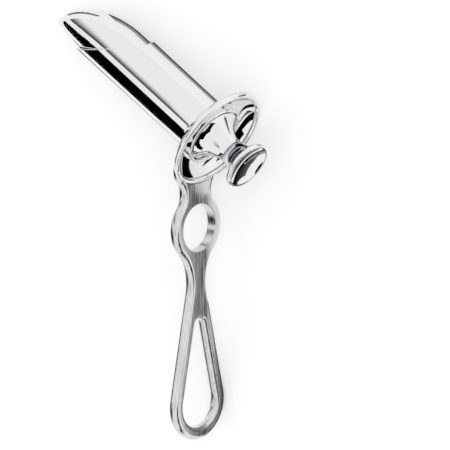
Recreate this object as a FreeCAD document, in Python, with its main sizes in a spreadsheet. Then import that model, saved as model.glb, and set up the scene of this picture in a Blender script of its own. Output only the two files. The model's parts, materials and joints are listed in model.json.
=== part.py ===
import FreeCAD, Part
import math
import os

import Sketcher
from FreeCAD import Placement, Rotation, Vector

# Tubular speculum with its obturator, in millimetres.
# Every piece is drawn in the instrument's frame: X runs along the tube towards its mouth,
# Z points away from the handle, and the origin is the centre of the flange's front rim.
# At the end all pieces are turned together so that the instrument lies on its side.

SIZES = [
    ("tube_radius", 12.7, "outside of the tube"),
    ("tube_wall", 1.1, "wall of the tube"),
    ("tube_reach", 70.0, "from the flange's rim to the mouth, along the tube's axis"),
    ("mouth_angle", 52.0, "slant of the mouth, from square"),
    ("lip_rounding", 0.3, "rounding of the mouth's edges"),
    ("flange_radius", 24.6, "outside of the flange's rim"),
    ("rim_radius", 1.25, "radius of the flange's rounded rim"),
    ("flange_wall", 1.4, "wall of the flange's dish"),
    ("dish_depth", 6.0, "from the rim's front to the flat seat in the dish"),
    ("seat_radius", 15.3, "edge of the flat seat in the dish"),
    ("dish_curve", 16.0, "radius of the dish's curve, from the seat to the rim"),
    ("collar_wall", 1.0, "wall of the flange's collar on the tube"),
    ("collar_length", 2.2, "length of the flange's collar past the dish"),
    ("sliding_clearance", 0.09, "between the tube's bore and the obturator"),
    ("seat_clearance", 0.05, "between the flange's seat and the stop disc"),
    ("joint_clearance", 0.02, "between a spigot and the bore that it is brazed in"),
    ("barrel_wall", 1.0, "wall of the obturator's barrel"),
    ("barrel_shoulder", 62.5, "from the rim's front to where the barrel's tip begins"),
    ("tip_length", 39.5, "length of the barrel's tip"),
    ("nose_rounding", 0.6, "rounding of the barrel's nose"),
    ("disc_radius", 14.5, "outside of the stop disc"),
    ("disc_wall", 2.0, "thickness of the stop disc inside its rim"),
    ("disc_rim", 0.8, "radius of the stop disc's raised rim"),
    ("disc_rim_depth", 2.5, "from the flange's rim back to the stop disc's rim"),
    ("spigot_radius", 4.0, "spigot under the bell"),
    ("spigot_length", 9.0, "length of the spigot under the bell"),
    ("plug_length", 7.0, "length of the stop disc's plug in the barrel"),
    ("bell_radius", 12.5, "foot of the bell"),
    ("bell_edge", 1.3, "height of the bell's edge"),
    ("neck_radius", 5.7, "narrowest part of the neck"),
    ("neck_reach", 8.5, "from the rim's front out to the narrowest part of the neck"),
    ("knob_radius", 11.56, "outside of the knob"),
    ("knob_reach", 19.4, "from the rim's front out to the knob's rim"),
    ("knob_rim", 1.1, "radius of the knob's rounded rim"),
    ("knob_dish", 21.0, "radius of the hollow in the knob's face"),
    ("handle_lean", 29.0, "lean of the handle towards the user"),
    ("handle_thickness", 5.0, "thickness of the handle"),
    ("handle_set_back", 2.6, "from the rim's front back to the handle's middle, at the rim"),
    ("edge_rounding", 2.2, "rounding of the handle's long edges"),
    ("hole_rounding", 0.4, "rounding of the finger hole's edges"),
    ("root_length", 13.5, "from the rim up to the top of the handle's root"),
    ("root_corner", 8.0, "corners of the root"),
    ("throat_width", 9.0, "half width of the waist above the finger ring"),
    ("throat_place", 5.3, "from the rim down to that waist"),
    ("ring_place", 21.2, "from the rim down to the finger hole"),
    ("ring_radius", 15.1, "outside of the finger ring"),
    ("finger_hole_radius", 10.6, "finger hole"),
    ("shank_width", 5.2, "half width of the waist below the finger ring"),
    ("shank_curve", 22.0, "radius of that waist's sides"),
    ("loop_place", 101.3, "from the rim down to the centre of the loop's round end"),
    ("loop_radius", 16.6, "outside of the loop's round end"),
    ("slot_end_radius", 10.8, "inside of the loop's round end"),
    ("slot_top_place", 65.4, "from the rim down to the centre of the loop's narrow end"),
    ("slot_top_radius", 2.8, "inside of the loop's narrow end"),
]

# The barrel's tip narrows as a rounded ogive, which is drawn through this many sections.
TIP_SECTIONS = 7
TIP_LAST_ANGLE = 84.0
TIP_FULLNESS = 1.14


class Size:
    """A length or angle with the formula that ties it to the sheet."""

    def __init__(self, value, formula):
        self.value = value
        self.formula = formula

    def __add__(self, other):
        other = as_size(other)
        return Size(self.value + other.value, "(%s + %s)" % (self.formula, other.formula))

    def __sub__(self, other):
        other = as_size(other)
        return Size(self.value - other.value, "(%s - %s)" % (self.formula, other.formula))

    def __mul__(self, other):
        other = as_size(other)
        return Size(self.value * other.value, "(%s * %s)" % (self.formula, other.formula))

    def __truediv__(self, other):
        other = as_size(other)
        return Size(self.value / other.value, "(%s / %s)" % (self.formula, other.formula))

    def __neg__(self):
        return Size(-self.value, "(0 - %s)" % self.formula)


def as_size(number):
    if isinstance(number, Size):
        return number
    return Size(float(number), repr(float(number)))


def root(square):
    return Size(math.sqrt(square.value), "sqrt(%s)" % square.formula)


def tangent(angle):
    return Size(math.tan(math.radians(angle.value)), "tan(%s)" % angle.formula)


def sine(angle):
    return Size(math.sin(math.radians(angle.value)), "sin(%s)" % angle.formula)


def cosine(angle):
    return Size(math.cos(math.radians(angle.value)), "cos(%s)" % angle.formula)


def half_chord(radius, height):
    return root(radius * radius - height * height)


doc = FreeCAD.newDocument("speculum")
sheet = doc.addObject("Spreadsheet::Sheet", "sizes")
size = {}
for row, (alias, value, meaning) in enumerate(SIZES, start=1):
    sheet.set("A%d" % row, meaning)
    sheet.set("B%d" % row, str(value))
    sheet.setAlias("B%d" % row, alias)
    size[alias] = Size(value, "sizes." + alias)
doc.recompute()


# Sketches

class Arc:
    """An arc of an outline: its radius, and whether it turns left on the way to its far end."""

    def __init__(self, radius, turns_left):
        self.radius = radius
        self.turns_left = turns_left


def new_body(label):
    body = doc.addObject("PartDesign::Body", label)
    body.Label = label
    return body


def new_sketch(body, name, plane="XZ_Plane"):
    sketch = body.newObject("Sketcher::SketchObject", name)
    origin = [item for item in body.Origin.OriginFeatures if item.Role == plane][0]
    sketch.AttachmentSupport = [(origin, "")]
    sketch.MapMode = "FlatFace"
    return sketch


def tie(sketch, kind, place, length):
    """Add one dimension to a sketch and bind it to its formula."""
    index = sketch.addConstraint(Sketcher.Constraint(kind, *place, length.value))
    sketch.setExpression("Constraints[%d]" % index, length.formula)


def tie_point(sketch, geometry, end, point):
    """Hold one end of an edge at a point that is given by two sizes."""
    for kind, coordinate, axis in (("DistanceX", point[0], -2), ("DistanceY", point[1], -1)):
        if abs(coordinate.value) < 1e-9:
            sketch.addConstraint(Sketcher.Constraint("PointOnObject", geometry, end, axis))
        else:
            tie(sketch, kind, (geometry, end), coordinate)


def arc_between(start, finish, arc):
    """The arc from start to finish, with its centre on the side that it turns to."""
    begin = Vector(start[0].value, start[1].value, 0)
    end = Vector(finish[0].value, finish[1].value, 0)
    chord = end - begin
    height = math.sqrt(arc.radius.value ** 2 - (chord.Length / 2) ** 2)
    side = Vector(-chord.y, chord.x, 0).normalize() * (height if arc.turns_left else -height)
    centre = (begin + end) / 2 + side
    first, last = (begin, end) if arc.turns_left else (end, begin)
    angles = [math.atan2((p - centre).y, (p - centre).x) for p in (first, last)]
    return Part.ArcOfCircle(Part.Circle(centre, Vector(0, 0, 1), arc.radius.value), *angles)


def draw_outline(sketch, corners, arcs=None):
    """Draw a closed outline; arcs maps the number of a corner to the arc that leaves it."""
    arcs = arcs or {}
    points = [(as_size(x), as_size(y)) for x, y in corners]
    ends = []
    for number, start in enumerate(points):
        finish = points[(number + 1) % len(points)]
        if number in arcs:
            arc = arcs[number]
            geometry = sketch.addGeometry(arc_between(start, finish, arc), False)
            ends.append((geometry, 1, 2) if arc.turns_left else (geometry, 2, 1))
        else:
            line = Part.LineSegment(Vector(start[0].value, start[1].value, 0),
                                    Vector(finish[0].value, finish[1].value, 0))
            ends.append((sketch.addGeometry(line, False), 1, 2))
    for number, (geometry, first, last) in enumerate(ends):
        following = ends[(number + 1) % len(ends)]
        sketch.addConstraint(
            Sketcher.Constraint("Coincident", geometry, last, following[0], following[1]))
        tie_point(sketch, geometry, first, points[number])
        if number in arcs:
            tie(sketch, "Radius", (geometry,), arcs[number].radius)


def revolve(body, name, corners, arcs=None):
    """Turn an outline of distances along and from the tube's axis round that axis."""
    sketch = new_sketch(body, name + "_profile")
    draw_outline(sketch, corners, arcs)
    turned = body.newObject("PartDesign::Revolution", name)
    turned.Profile = sketch
    turned.ReferenceAxis = (sketch, ["H_Axis"])
    turned.Angle = 360
    return turned


def extrude(body, kind, name, sketch, length=None):
    """Pad or pocket a sketch to both sides of its plane; with no length it goes right through."""
    feature = body.newObject("PartDesign::" + kind, name)
    feature.Profile = sketch
    feature.SideType = "Symmetric"
    if length is None:
        feature.Type = "ThroughAll"
    else:
        feature.Length = length.value
        feature.setExpression("Length", length.formula)
    return feature


def round_edges(body, name, base, edges, radius):
    """Round the numbered edges of a feature."""
    feature = body.newObject("PartDesign::Fillet", name)
    feature.Base = (base, ["Edge%d" % number for number in edges])
    feature.Radius = radius.value
    feature.setExpression("Radius", radius.formula)
    body.Tip = feature
    return feature


def edges_where(feature, test):
    return [n for n, edge in enumerate(feature.Shape.Edges, start=1) if test(edge)]


# The tube, with its slanted mouth

tube_bore = size["tube_radius"] - size["tube_wall"]
mouth_slope = tangent(size["mouth_angle"])


def make_tube():
    body = new_body("speculum_tube")
    far_lip = size["tube_reach"] + mouth_slope * size["tube_radius"]
    revolve(body, "wall", [
        (size["dish_depth"], tube_bore),
        (far_lip + 1, tube_bore),
        (far_lip + 1, size["tube_radius"]),
        (size["dish_depth"], size["tube_radius"]),
    ])
    reach = size["tube_radius"] + 1
    sketch = new_sketch(body, "mouth_outline")
    draw_outline(sketch, [
        (size["tube_reach"] + mouth_slope * reach, -reach),
        (far_lip + mouth_slope * reach, -reach),
        (far_lip + mouth_slope * reach, reach),
        (size["tube_reach"] - mouth_slope * reach, reach),
    ])
    mouth = extrude(body, "Pocket", "mouth", sketch)
    doc.recompute()
    flat_end = size["dish_depth"].value + 0.01
    edges = edges_where(mouth, lambda edge: edge.BoundBox.XMax - edge.BoundBox.XMin > 1
                        and not edge.Curve.TypeId.endswith("GeomLine")
                        and edge.BoundBox.XMin > flat_end)
    round_edges(body, "lip", mouth, edges, size["lip_rounding"])
    return body


# The flange: a flat seat round the tube, a curved dish and a full round rim

rim = size["rim_radius"]
rim_centre = size["flange_radius"] - rim


def make_flange():
    body = new_body("speculum_flange")
    back = size["dish_depth"] + size["flange_wall"]
    collar = size["tube_radius"] + size["collar_wall"]
    revolve(body, "dish", [
        (size["dish_depth"], size["tube_radius"]),
        (size["dish_depth"], size["seat_radius"]),
        (rim * 1.6, rim_centre - rim * 0.8),
        (0, rim_centre),
        (rim, size["flange_radius"]),
        (rim * 2, rim_centre),
        (back, size["seat_radius"]),
        (back, collar),
        (back + size["collar_length"], collar),
        (back + size["collar_length"], size["tube_radius"]),
    ], {
        1: Arc(size["dish_curve"], True),
        2: Arc(rim, False),
        3: Arc(rim, False),
        4: Arc(rim, False),
        5: Arc(size["dish_curve"] + size["flange_wall"], False),
    })
    return body


# The handle, drawn flat: X runs down it from the flange's rim, Y across it

def add_arc(sketch, centre, radius, first, last):
    """Add an arc between two directions from its centre, in degrees."""
    circle = Part.Circle(Vector(centre[0], centre[1], 0), Vector(0, 0, 1), radius.value)
    return sketch.addGeometry(
        Part.ArcOfCircle(circle, math.radians(first), math.radians(last)), False)


def add_line(sketch, start, finish):
    line = Part.LineSegment(Vector(start[0], start[1], 0), Vector(finish[0], finish[1], 0))
    return sketch.addGeometry(line, False)


def direction(start, finish):
    return math.degrees(math.atan2(finish[1] - start[1], finish[0] - start[0]))


def join(sketch, first, first_end, second, second_end, kind="Tangent"):
    sketch.addConstraint(Sketcher.Constraint(kind, first, first_end, second, second_end))


def draw_half_outline(sketch):
    """One side of the handle, closed along its middle line."""
    drop = size["ring_place"] - size["throat_place"]
    swell = size["ring_radius"] - size["throat_width"]
    throat_curve = (drop * drop / swell - size["ring_radius"] - size["throat_width"]) / 2
    throat_height = size["throat_width"] + throat_curve
    shank_height = size["shank_width"] + size["shank_curve"]
    reach = size["ring_radius"] + size["shank_curve"]
    shank_place = size["ring_place"] + half_chord(reach, shank_height)
    corner_x = size["root_corner"] - size["root_length"]
    corner_reach = size["root_corner"] + throat_curve
    corner_y = throat_height - half_chord(corner_reach, size["throat_place"] - corner_x)

    corner = (corner_x.value, corner_y.value)
    throat = (size["throat_place"].value, throat_height.value)
    ring = (size["ring_place"].value, 0)
    shank = (shank_place.value, shank_height.value)
    loop = (size["loop_place"].value, 0)
    span = math.dist(shank, loop)
    turn = math.degrees(math.asin((size["shank_curve"].value + size["loop_radius"].value) / span))
    side = direction(shank, loop) + turn
    end = loop[0] + size["loop_radius"].value

    corner_arc = add_arc(sketch, corner, size["root_corner"], direction(corner, throat), 180)
    throat_arc = add_arc(sketch, throat, throat_curve,
                         direction(throat, corner), direction(throat, ring))
    ring_arc = add_arc(sketch, ring, size["ring_radius"],
                       direction(ring, shank), direction(ring, throat))
    shank_arc = add_arc(sketch, shank, size["shank_curve"], direction(shank, ring), side - 90)
    loop_arc = add_arc(sketch, loop, size["loop_radius"], 0, side + 90)
    top = add_line(sketch, (-size["root_length"].value, 0),
                   (-size["root_length"].value, corner[1]))
    shank_end = sketch.getPoint(shank_arc, 2)
    loop_start = sketch.getPoint(loop_arc, 2)
    straight = add_line(sketch, (shank_end.x, shank_end.y), (loop_start.x, loop_start.y))
    middle = add_line(sketch, (end, 0), (-size["root_length"].value, 0))

    join(sketch, top, 2, corner_arc, 2)
    join(sketch, corner_arc, 1, throat_arc, 1)
    join(sketch, throat_arc, 2, ring_arc, 2)
    join(sketch, ring_arc, 1, shank_arc, 1)
    join(sketch, shank_arc, 2, straight, 1)
    join(sketch, straight, 2, loop_arc, 2)
    join(sketch, loop_arc, 1, middle, 1, "Coincident")
    join(sketch, middle, 2, top, 1, "Coincident")
    sketch.addConstraint(Sketcher.Constraint("Vertical", top))
    sketch.addConstraint(Sketcher.Constraint("PointOnObject", middle, 1, -1))
    sketch.addConstraint(Sketcher.Constraint("PointOnObject", middle, 2, -1))
    sketch.addConstraint(Sketcher.Constraint("PointOnObject", ring_arc, 3, -1))
    sketch.addConstraint(Sketcher.Constraint("PointOnObject", loop_arc, 3, -1))
    for geometry, radius in ((corner_arc, "root_corner"), (ring_arc, "ring_radius"),
                             (shank_arc, "shank_curve"), (loop_arc, "loop_radius")):
        tie(sketch, "Radius", (geometry,), size[radius])
    tie(sketch, "DistanceX", (top, 1), -size["root_length"])
    tie(sketch, "DistanceX", (throat_arc, 3), size["throat_place"])
    tie(sketch, "DistanceY", (throat_arc, 3), throat_height)
    tie(sketch, "DistanceX", (ring_arc, 3), size["ring_place"])
    tie(sketch, "DistanceY", (shank_arc, 3), shank_height)
    tie(sketch, "DistanceX", (loop_arc, 3), size["loop_place"])


def draw_slot(sketch):
    """The loop's opening: a wide round end, a narrow round end and two straight sides."""
    wide = (size["loop_place"].value, 0)
    narrow = (size["slot_top_place"].value, 0)
    rise = (size["slot_end_radius"].value - size["slot_top_radius"].value) / (wide[0] - narrow[0])
    lean = 90 + math.degrees(math.asin(rise))
    wide_arc = add_arc(sketch, wide, size["slot_end_radius"], -lean, lean)
    narrow_arc = add_arc(sketch, narrow, size["slot_top_radius"], lean, 360 - lean)
    for wide_end, narrow_end in ((2, 1), (1, 2)):
        start = sketch.getPoint(wide_arc, wide_end)
        finish = sketch.getPoint(narrow_arc, narrow_end)
        straight = add_line(sketch, (start.x, start.y), (finish.x, finish.y))
        join(sketch, wide_arc, wide_end, straight, 1)
        join(sketch, narrow_arc, narrow_end, straight, 2)
    for geometry, place, radius in ((wide_arc, "loop_place", "slot_end_radius"),
                                    (narrow_arc, "slot_top_place", "slot_top_radius")):
        sketch.addConstraint(Sketcher.Constraint("PointOnObject", geometry, 3, -1))
        tie(sketch, "DistanceX", (geometry, 3), size[place])
        tie(sketch, "Radius", (geometry,), size[radius])


def make_handle_plate():
    """The flat forging, before its root is cut to the flange and the tube."""
    body = new_body("handle_plate")
    sketch = new_sketch(body, "handle_outline", "XY_Plane")
    draw_half_outline(sketch)
    half = extrude(body, "Pad", "half_plate", sketch, size["handle_thickness"])
    whole = body.newObject("PartDesign::Mirrored", "plate")
    whole.Originals = [half]
    origin = [item for item in body.Origin.OriginFeatures if item.Role == "XZ_Plane"][0]
    whole.MirrorPlane = (origin, [""])
    body.Tip = whole
    sketch = new_sketch(body, "slot_outline", "XY_Plane")
    draw_slot(sketch)
    slot = extrude(body, "Pocket", "slot", sketch)
    doc.recompute()

    face = size["handle_thickness"].value / 2

    def on_a_face(edge):
        box = edge.BoundBox
        return box.ZMax - box.ZMin < 0.01 and abs(abs(box.ZMax) - face) < 0.01

    rounded = round_edges(body, "long_edges", slot, edges_where(slot, on_a_face),
                          size["edge_rounding"])
    sketch = new_sketch(body, "hole_outline", "XY_Plane")
    hole_circle = sketch.addGeometry(
        Part.Circle(Vector(size["ring_place"].value, 0, 0), Vector(0, 0, 1),
                    size["finger_hole_radius"].value), False)
    tie(sketch, "Radius", (hole_circle,), size["finger_hole_radius"])
    tie(sketch, "DistanceX", (hole_circle, 3), size["ring_place"])
    sketch.addConstraint(Sketcher.Constraint("PointOnObject", hole_circle, 3, -1))
    hole = extrude(body, "Pocket", "finger_hole", sketch)
    doc.recompute()

    def round_the_hole(edge):
        return (edge.Curve.TypeId.endswith("GeomCircle") and on_a_face(edge)
                and abs(edge.Curve.Radius - size["finger_hole_radius"].value) < 0.001)

    round_edges(body, "hole_edges", hole, edges_where(hole, round_the_hole),
                size["hole_rounding"])
    return body


def make_handle():
    """Lean the plate back behind the rim and cut its root to fit the flange and the tube."""
    plate = make_handle_plate()
    lean = math.radians(size["handle_lean"].value)
    down = Vector(-math.sin(lean), 0, -math.cos(lean))
    front = Vector(-math.cos(lean), 0, math.sin(lean))
    corner = Vector(size["handle_set_back"].value, 0, -size["flange_radius"].value)
    plate.Placement = Placement(corner, Rotation(down, front.cross(down), front, "ZXY"))
    room = new_body("room_for_the_flange")
    back = size["dish_depth"] + size["flange_wall"]
    collar = size["tube_radius"] + size["collar_wall"]
    ahead = size["root_length"]
    revolve(room, "flange_and_front", [
        (-ahead, 0),
        (size["tube_reach"], 0),
        (size["tube_reach"], size["tube_radius"]),
        (back + size["collar_length"], size["tube_radius"]),
        (back + size["collar_length"], collar),
        (back, collar),
        (back, size["seat_radius"]),
        (rim * 2, rim_centre),
        (rim, size["flange_radius"]),
        (-ahead, size["flange_radius"]),
    ], {
        6: Arc(size["dish_curve"] + size["flange_wall"], True),
        7: Arc(rim, True),
    })
    handle = doc.addObject("Part::Cut", "speculum_handle")
    handle.Label = "speculum_handle"
    handle.Base = plate
    handle.Tool = room
    return handle


# The obturator's barrel: a closed tube whose tip slopes away from the handle's side

barrel_radius = tube_bore - size["sliding_clearance"]
barrel_bore = barrel_radius - size["barrel_wall"]
disc_back = size["dish_depth"] - size["seat_clearance"]


def add_tip(body, kind, radius, length):
    """Loft through round sections that shrink towards the side where the handle is."""
    sections = []
    for number in range(TIP_SECTIONS):
        angle = as_size(TIP_LAST_ANGLE * number / (TIP_SECTIONS - 1))
        across = math.cos(math.radians(angle.value)) ** TIP_FULLNESS
        section_radius = radius * across
        place = size["barrel_shoulder"] + length * sine(angle)
        sketch = new_sketch(body, "%s_section_%d" % (kind, number), "YZ_Plane")
        sketch.AttachmentOffset = Placement(Vector(0, 0, place.value), Rotation())
        sketch.setExpression("AttachmentOffset.Base.z", place.formula)
        drop = section_radius - radius
        circle = Part.Circle(Vector(0, drop.value, 0), Vector(0, 0, 1), section_radius.value)
        geometry = sketch.addGeometry(circle, False)
        tie(sketch, "Radius", (geometry,), section_radius)
        tie_point(sketch, geometry, 3, (as_size(0), drop))
        sections.append(sketch)
    loft = body.newObject("PartDesign::" + kind, kind + "_tip")
    loft.Profile = sections[0]
    loft.Sections = sections[1:]
    return loft


def make_barrel():
    body = new_body("obturator_barrel")
    revolve(body, "wall", [
        (disc_back, barrel_bore),
        (size["barrel_shoulder"], barrel_bore),
        (size["barrel_shoulder"], barrel_radius),
        (disc_back, barrel_radius),
    ])
    add_tip(body, "AdditiveLoft", barrel_radius, size["tip_length"])
    hollow = add_tip(body, "SubtractiveLoft", barrel_bore,
                     size["tip_length"] - size["barrel_wall"] * 2)
    doc.recompute()
    far_end = hollow.Shape.BoundBox.XMax
    edges = edges_where(hollow, lambda edge: edge.BoundBox.XMin > far_end - 0.02)
    round_edges(body, "nose", hollow, edges, size["nose_rounding"])
    return body


# The stop disc: a raised round rim, a flat face and a plug that closes the barrel

disc_face = disc_back - size["disc_wall"]


def make_stop_disc():
    body = new_body("obturator_stop_disc")
    hole = size["spigot_radius"] + size["joint_clearance"]
    plug = barrel_bore - size["joint_clearance"]
    crest = size["disc_rim_depth"]
    ring = size["disc_rim"]
    revolve(body, "disc", [
        (disc_face, hole),
        (disc_face, size["disc_radius"] - ring * 2),
        (crest + ring, size["disc_radius"] - ring * 2),
        (crest, size["disc_radius"] - ring),
        (crest + ring, size["disc_radius"]),
        (disc_back, size["disc_radius"]),
        (disc_back, plug),
        (disc_back + size["plug_length"], plug),
        (disc_back + size["plug_length"], hole),
    ], {
        2: Arc(ring, False),
        3: Arc(ring, False),
    })
    return body


# The knob: bell, neck and flared knob turned in one piece

def tangent_curve(along, across, ring):
    """Radius of a curve that starts level and then meets a ring of the given radius."""
    return (along * along + across * across - ring * ring) / ((across + ring) * 2)


def towards(start, finish, share):
    return (start[0] + (finish[0] - start[0]) * share, start[1] + (finish[1] - start[1]) * share)


def make_knob():
    body = new_body("obturator_knob")
    neck = (-size["neck_reach"], size["neck_radius"])
    bell_edge = disc_face - size["bell_edge"]
    ring = size["knob_rim"]
    ring_centre = (ring - size["knob_reach"], size["knob_radius"] - ring)
    bell_curve = tangent_curve(bell_edge - neck[0], size["bell_radius"] - neck[1], as_size(0))
    flare = tangent_curve(ring_centre[0] - neck[0], ring_centre[1] - neck[1], ring)
    flare_centre = (neck[0], neck[1] + flare)
    hollow = size["knob_dish"]
    hollow_centre = (ring_centre[0] - half_chord(hollow + ring, ring_centre[1]), as_size(0))
    revolve(body, "turned", [
        (disc_face + size["spigot_length"], 0),
        (disc_face + size["spigot_length"], size["spigot_radius"]),
        (disc_face, size["spigot_radius"]),
        (disc_face, size["bell_radius"]),
        (bell_edge, size["bell_radius"]),
        neck,
        towards(ring_centre, flare_centre, ring / (flare + ring)),
        (ring_centre[0], size["knob_radius"]),
        (-size["knob_reach"], ring_centre[1]),
        towards(ring_centre, hollow_centre, ring / (hollow + ring)),
        (hollow_centre[0] + hollow, 0),
    ], {
        4: Arc(bell_curve, False),
        5: Arc(flare, False),
        6: Arc(ring, True),
        7: Arc(ring, True),
        8: Arc(ring, True),
        9: Arc(hollow, False),
    })
    return body


# How the instrument lies: on its rim, its loop and its mouth, with +Z up

MESH_STEP = 0.05


def mesh_points(piece):
    return piece.Shape.tessellate(MESH_STEP)[0]


def lowest(points, up):
    return min(points, key=up.dot)


def resting_turn(pieces):
    """The turn that lays three pieces on one plane, with the tube's axis level along X."""
    clouds = [mesh_points(piece) for piece in pieces]
    up = Vector(0, 1, 0)
    for _ in range(20):
        rim_point, loop_point, mouth_point = [lowest(points, up) for points in clouds]
        normal = (loop_point - rim_point).cross(mouth_point - rim_point).normalize()
        up = normal if normal.y > 0 else -normal
    along = (Vector(1, 0, 0) - up * up.x).normalize()
    return Rotation(along, up.cross(along), up, "ZXY").inverted()


def lay_down(pieces, contacts):
    """Turn every piece and set the middle of the whole box's underside on the origin."""
    turn = resting_turn(contacts)
    points = [turn.multVec(point) for piece in pieces for point in mesh_points(piece)]
    low = Vector(*[min(point[axis] for point in points) for axis in range(3)])
    high = Vector(*[max(point[axis] for point in points) for axis in range(3)])
    middle = (low + high) / 2
    shift = Vector(-middle.x, -middle.y, -low.z)
    for piece in pieces:
        piece.Placement = Placement(shift, turn)


def check_document():
    for item in doc.Objects:
        if "Invalid" in item.State or "Error" in item.State:
            raise ValueError("%s failed: %s" % (item.Label, item.State))


tube = make_tube()
flange = make_flange()
handle = make_handle()
pieces = [tube, flange, handle, make_barrel(), make_stop_disc(), make_knob()]
doc.recompute()
check_document()
lay_down(pieces, [flange, handle, tube])
doc.recompute()
check_document()

os.makedirs("parts", exist_ok=True)
for piece in pieces:
    if piece.Shape.isNull() or not piece.Shape.isValid():
        raise ValueError("%s has no valid shape" % piece.Label)
    piece.Shape.exportStep("parts/%s.step" % piece.Label)
    print("%-22s %9.1f mm3" % (piece.Label, piece.Shape.Volume))
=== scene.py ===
import json
import math

import bpy
from mathutils import Matrix, Vector

# A polished steel tubular speculum with its obturator, lying on a white studio floor.

MILLIMETRES_PER_METRE = 1000

# The drawing's frame, in pixels, and where the centre of the flange's rim lies in it
FRAME_PIXELS = 450
PIXELS_PER_METRE = 2290
FLANGE_CENTRE_PIXEL = (219.2, 139.9)

# Places along the tube's axis and from it, in metres
HOLE_BELOW_RIM = 0.0212
FLANGE_RADIUS = 0.0246
HANDLE_SET_BACK = 0.0026
HANDLE_LEAN = math.radians(29.0)

# The camera's directions in the instrument's frame: to the right of the picture and up it
PICTURE_RIGHT = Vector((-0.665, -0.665, 0.362))
PICTURE_UP = Vector((0.630, -0.167, 0.766))
CAMERA_DISTANCE = 3.0
CAMERA_REACH = 20
SENSOR_WIDTH = 0.036

# The steel. Each grain has a scale along the piece and two across it, per metre
STEEL = (0.8, 0.81, 0.82)
NOISE_DETAIL = 4
NOISE_SPAN = (0.3, 0.7)
HAZE_SCALES = (900, 120, 120)
HAZE_ROUGHNESS = (0.03, 0.07)
STREAK_SCALES = (60, 1500, 1500)
STREAK_ROUGHNESS = (0.1, 0.3)
STREAK_TONES = (0.82, 1)
PATCH_SCALES = (25, 260, 260)
PATCH_TONES = (0.88, 1)
GRIND_DEPTH = 0.00002

# The studio's plain light and floor
WHITE = (1, 1, 1, 1)
WORLD_LIGHT = 0.85
FLOOR_SIZE = 6
FLOOR_COLOUR = (0.85, 0.85, 0.85, 1)
FLOOR_ROUGHNESS = 0.9
FLOOR_GLOW = 0.26
LAMP_PLACE = Vector((-0.5, -0.9, 1.5))
LAMP_WIDTH = 1.2
LAMP_POWER = 4

# The cards that give the steel its dark bands, with the tones from one side to the other
CARD_DISTANCE = 1.4
CARD_LIFT = 0.0003
CARD_STEPS = 24
BLACK = (0, 0)

# Cards round the object: the bottom and top edge, each an elevation and two azimuths in degrees
WALL_CARDS = (
    ("dark_card", (-9, 18, 80), (38, 38, 66), BLACK),
    ("graded_card", (-4, 5, -17), (54, 21, -17), (0.02, 1)),
    ("behind_card", (-5, 150, 204), (28, 158, 192), BLACK),
    ("behind_low", (-5, 118, 150), (15, 123, 155), BLACK),
    ("top_card", (66, 60, 250), (88, 60, 250), (0.4, 1)),
)

# Cards on the floor: the near and far edge, each from one end to the other, in millimetres
# Only mirrors see these dark sheets, so they are painted reflections that darken bands in the
# steel. Those under and beside the tube, dish and handle are painted shade for the floor's
# shadow there.
FLOOR_CARDS = (
    ("tube_right_painted_shade", ((-12, -68), (64, -58)), ((-12, -82), (64, -72)), (0, 0.5)),
    ("tip_front", ((80, -72), (92, -46)), ((92, -76), (108, -46)), (0, 0.4)),
    ("flange_front", ((-28, -90), (-52, -74)), ((-34, -108), (-66, -86)), (0, 0.5)),
    ("tube_left", ((-10, -30), (75, -30)), ((-10, -17), (75, -17)), (0, 0.2)),
    ("tube_wedge", ((170, 0), (70, 85)), ((1300, 420), (420, 1300)), BLACK),
    ("handle_strip_painted_shade", ((-46, -28), (-98, 76)), ((-66, -36), (-120, 68)), (0.02, 0.6)),
    ("handle_foot_painted_shade", ((-52, 20), (-86, 82)), ((-62, 16), (-98, 74)), (0, 0.4)),
    ("knob_patch", ((-53, -45), (-53, -21)), ((-92, -45), (-88, -24)), (0, 0.12)),
    ("dish_painted_shade", ((-16, -40), (-16, -22)), ((-38, -44), (-36, -26)), BLACK),
)

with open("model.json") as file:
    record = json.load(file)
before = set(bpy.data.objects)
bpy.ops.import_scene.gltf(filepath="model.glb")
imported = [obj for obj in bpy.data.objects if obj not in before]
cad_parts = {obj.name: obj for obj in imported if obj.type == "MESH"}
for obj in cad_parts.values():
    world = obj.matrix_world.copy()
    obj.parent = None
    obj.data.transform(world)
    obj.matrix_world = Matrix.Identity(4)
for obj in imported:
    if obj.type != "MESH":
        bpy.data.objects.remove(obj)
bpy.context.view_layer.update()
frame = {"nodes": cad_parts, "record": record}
record = frame["record"]


# The instrument's own frame: X along the tube, Z away from the handle

slide = record["behaviour"]["joints"][0]
finger_hole = record["mounts"][0]
along = -Vector(slide["axis"]).normalized()
hole_axis = Vector(finger_hole["axis"])
away = (hole_axis - along * hole_axis.dot(along)).normalized()
side = away.cross(along)
rim_centre = (Vector(finger_hole["pos_m"])
              - along * (HANDLE_SET_BACK - math.sin(HANDLE_LEAN) * HOLE_BELOW_RIM)
              + away * (FLANGE_RADIUS + math.cos(HANDLE_LEAN) * HOLE_BELOW_RIM))


def from_instrument(vector):
    return along * vector.x + side * vector.y + away * vector.z


handle_down = from_instrument(Vector((-math.sin(HANDLE_LEAN), 0, -math.cos(HANDLE_LEAN))))
handle_across = hole_axis.cross(handle_down)


# Materials

def new_material(name):
    material = bpy.data.materials.new(name)
    material.use_nodes = True
    return material, material.node_tree.nodes, material.node_tree.links


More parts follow.
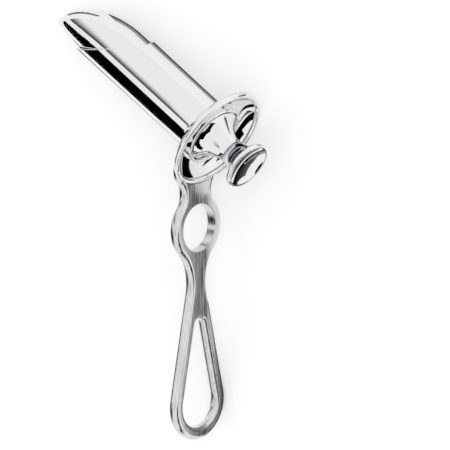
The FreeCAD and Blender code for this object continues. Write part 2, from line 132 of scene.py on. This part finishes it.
def grain(nodes, links, directions, scales):
    """Noise on the piece's own coordinates, stretched by one scale along each direction."""
    place = nodes.new("ShaderNodeTexCoord")
    combine = nodes.new("ShaderNodeCombineXYZ")
    for number, (direction, scale) in enumerate(zip(directions, scales)):
        share = nodes.new("ShaderNodeVectorMath")
        share.operation = "DOT_PRODUCT"
        share.inputs[1].default_value = direction * scale
        links.new(place.outputs["Object"], share.inputs[0])
        links.new(share.outputs["Value"], combine.inputs[number])
    noise = nodes.new("ShaderNodeTexNoise")
    noise.inputs["Scale"].default_value = 1
    noise.inputs["Detail"].default_value = NOISE_DETAIL
    links.new(combine.outputs["Vector"], noise.inputs["Vector"])
    return noise.outputs["Fac"]


def spread(nodes, links, value, results, span=NOISE_SPAN):
    """Map a span, which is a noise's usual one unless given, onto a range of results."""
    reach = nodes.new("ShaderNodeMapRange")
    reach.inputs["From Min"].default_value = span[0]
    reach.inputs["From Max"].default_value = span[1]
    reach.inputs["To Min"].default_value = results[0]
    reach.inputs["To Max"].default_value = results[1]
    links.new(value, reach.inputs["Value"])
    return reach.outputs["Result"]


def raise_surface(nodes, links, value, depth):
    bump = nodes.new("ShaderNodeBump")
    bump.inputs["Distance"].default_value = depth
    links.new(value, bump.inputs["Height"])
    links.new(bump.outputs["Normal"], nodes["Principled BSDF"].inputs["Normal"])


def polished_steel(name, colour):
    """Mirror-polished steel with the faint haze that a buffing wheel leaves round the axis."""
    material, nodes, links = new_material(name)
    shader = nodes["Principled BSDF"]
    shader.inputs["Base Color"].default_value = (*colour, 1)
    shader.inputs["Metallic"].default_value = 1
    haze = grain(nodes, links, (along, side, away), HAZE_SCALES)
    links.new(spread(nodes, links, haze, HAZE_ROUGHNESS), shader.inputs["Roughness"])
    return material


def ground_steel(name, colour):
    """Steel ground along the handle: streaks of irregular length that dull and darken it."""
    material, nodes, links = new_material(name)
    shader = nodes["Principled BSDF"]
    shader.inputs["Metallic"].default_value = 1
    directions = (handle_down, handle_across, hole_axis)
    streaks = grain(nodes, links, directions, STREAK_SCALES)
    patches = grain(nodes, links, directions, PATCH_SCALES)
    links.new(spread(nodes, links, streaks, STREAK_ROUGHNESS), shader.inputs["Roughness"])
    tone = nodes.new("ShaderNodeMath")
    tone.operation = "MULTIPLY"
    links.new(spread(nodes, links, streaks, STREAK_TONES), tone.inputs[0])
    links.new(spread(nodes, links, patches, PATCH_TONES), tone.inputs[1])
    shade = nodes.new("ShaderNodeVectorMath")
    shade.operation = "SCALE"
    shade.inputs[0].default_value = colour
    links.new(tone.outputs[0], shade.inputs["Scale"])
    links.new(shade.outputs["Vector"], shader.inputs["Base Color"])
    raise_surface(nodes, links, streaks, GRIND_DEPTH)
    return material


bright = polished_steel("polished_steel", STEEL)
ground = ground_steel("ground_steel", STEEL)
for name, node in frame["nodes"].items():
    node.data.materials.clear()
    node.data.materials.append(ground if name == "speculum_handle" else bright)
    for polygon in node.data.polygons:
        polygon.use_smooth = True


# The studio

def seen_or_mirrored(nodes, links):
    """One for rays from the camera, from a mirror and through glass, nothing for the rest."""
    rays = nodes.new("ShaderNodeLightPath")
    found = rays.outputs["Is Camera Ray"]
    for kind in ("Is Glossy Ray", "Is Transmission Ray"):
        either = nodes.new("ShaderNodeMath")
        either.operation = "MAXIMUM"
        links.new(found, either.inputs[0])
        links.new(rays.outputs[kind], either.inputs[1])
        found = either.outputs[0]
    return found


def background():
    """A world that is white where it is seen or mirrored and plain where it lights."""
    world = bpy.data.worlds.new("studio")
    bpy.context.scene.world = world
    world.use_nodes = True
    nodes, links = world.node_tree.nodes, world.node_tree.links
    strength = spread(nodes, links, seen_or_mirrored(nodes, links), (WORLD_LIGHT, 1), (0, 1))
    links.new(strength, nodes["Background"].inputs["Strength"])
    nodes["Background"].inputs["Color"].default_value = WHITE


def floor():
    """A white floor that keeps the shadow and glows a little where it is seen or mirrored."""
    bpy.ops.mesh.primitive_plane_add(size=FLOOR_SIZE, location=(0, 0, 0))
    plane = bpy.context.object
    plane.name = "floor"
    material, nodes, links = new_material("white_floor")
    shader = nodes["Principled BSDF"]
    shader.inputs["Base Color"].default_value = FLOOR_COLOUR
    shader.inputs["Roughness"].default_value = FLOOR_ROUGHNESS
    shader.inputs["Specular IOR Level"].default_value = 0
    shader.inputs["Emission Color"].default_value = WHITE
    glow = spread(nodes, links, seen_or_mirrored(nodes, links), (0, FLOOR_GLOW), (0, 1))
    links.new(glow, shader.inputs["Emission Strength"])
    plane.data.materials.append(material)


def card(name, place, tones):
    """A panel beside or under the object that only mirrors see. A function gives the place of
    each share across it and up it, and the tones run across it."""
    steps = range(CARD_STEPS + 1)
    row = CARD_STEPS + 1
    points = [place(across / CARD_STEPS, up / CARD_STEPS) for up in steps for across in steps]
    corners = [up * row + across for up in steps[:-1] for across in steps[:-1]]
    mesh = bpy.data.meshes.new(name)
    mesh.from_pydata(points, [], [(at, at + 1, at + row + 1, at + row) for at in corners])
    layer = mesh.uv_layers.new(name="share")
    for loop in mesh.loops:
        up, across = divmod(loop.vertex_index, row)
        layer.data[loop.index].uv = (across / CARD_STEPS, up / CARD_STEPS)
    panel = bpy.data.objects.new(name, mesh)
    bpy.context.scene.collection.objects.link(panel)
    panel.visible_camera = False
    panel.visible_diffuse = False
    panel.visible_shadow = False
    material, nodes, links = new_material(name)
    share = nodes.new("ShaderNodeUVMap")
    split = nodes.new("ShaderNodeSeparateXYZ")
    ramp = nodes.new("ShaderNodeValToRGB")
    ramp.color_ramp.interpolation = "EASE"
    for element, tone in zip(ramp.color_ramp.elements, tones):
        element.color = (tone, tone, tone, 1)
    light = nodes.new("ShaderNodeEmission")
    links.new(share.outputs["UV"], split.inputs[0])
    links.new(split.outputs["X"], ramp.inputs["Fac"])
    links.new(ramp.outputs["Color"], light.inputs["Color"])
    links.new(light.outputs["Emission"], nodes["Material Output"].inputs["Surface"])
    mesh.materials.append(material)


def between(first, last, share):
    return first + (last - first) * share


def wall_card(name, bottom, top, tones):
    def place(across, up):
        elevation = math.radians(between(bottom[0], top[0], up))
        azimuth = math.radians(between(between(bottom[1], top[1], up),
                                       between(bottom[2], top[2], up), across))
        return Vector((math.cos(elevation) * math.cos(azimuth),
                       math.cos(elevation) * math.sin(azimuth),
                       math.sin(elevation))) * CARD_DISTANCE
    card(name, place, tones)


# A dark sheet on the floor that only mirrors see: a painted dark reflection in the steel, and
# painted shade where it lies under or beside the object.
def floor_card(name, near, far, tones):
    def place(across, up):
        first = Vector(near[0]).lerp(Vector(far[0]), across)
        last = Vector(near[1]).lerp(Vector(far[1]), across)
        flat = first.lerp(last, up) / MILLIMETRES_PER_METRE
        return flat.to_3d() + Vector((0, 0, CARD_LIFT))
    card(name, place, tones)


def lamp(name, place, width, power):
    """A square lamp that points at the object and that no mirror shows."""
    data = bpy.data.lights.new(name, "AREA")
    data.size = width
    data.energy = power
    light = bpy.data.objects.new(name, data)
    light.location = place
    light.rotation_mode = "QUATERNION"
    light.rotation_quaternion = (-place).to_track_quat("-Z", "Y")
    light.visible_glossy = False
    bpy.context.scene.collection.objects.link(light)


def camera():
    """A far camera, near to a parallel projection, with the drawing's frame."""
    data = bpy.data.cameras.new("camera")
    view = bpy.data.objects.new("camera", data)
    bpy.context.scene.collection.objects.link(view)
    right = from_instrument(PICTURE_RIGHT).normalized()
    back = right.cross(from_instrument(PICTURE_UP)).normalized()
    up = back.cross(right)
    middle = FRAME_PIXELS / 2
    target = (rim_centre
              + right * ((middle - FLANGE_CENTRE_PIXEL[0]) / PIXELS_PER_METRE)
              - up * ((middle - FLANGE_CENTRE_PIXEL[1]) / PIXELS_PER_METRE))
    turn = Matrix((right, up, back)).transposed().to_4x4()
    view.matrix_world = Matrix.Translation(target + back * CAMERA_DISTANCE) @ turn
    frame_width = FRAME_PIXELS / PIXELS_PER_METRE
    data.sensor_width = SENSOR_WIDTH * MILLIMETRES_PER_METRE
    data.lens = data.sensor_width * CAMERA_DISTANCE / frame_width
    data.clip_end = CAMERA_REACH
    bpy.context.scene.camera = view


background()
floor()
for edges_and_tones in WALL_CARDS:
    wall_card(*edges_and_tones)
for edges_and_tones in FLOOR_CARDS:
    floor_card(*edges_and_tones)
lamp("soft_key", LAMP_PLACE, LAMP_WIDTH, LAMP_POWER)
camera()
bpy.context.scene.view_settings.view_transform = "Standard"
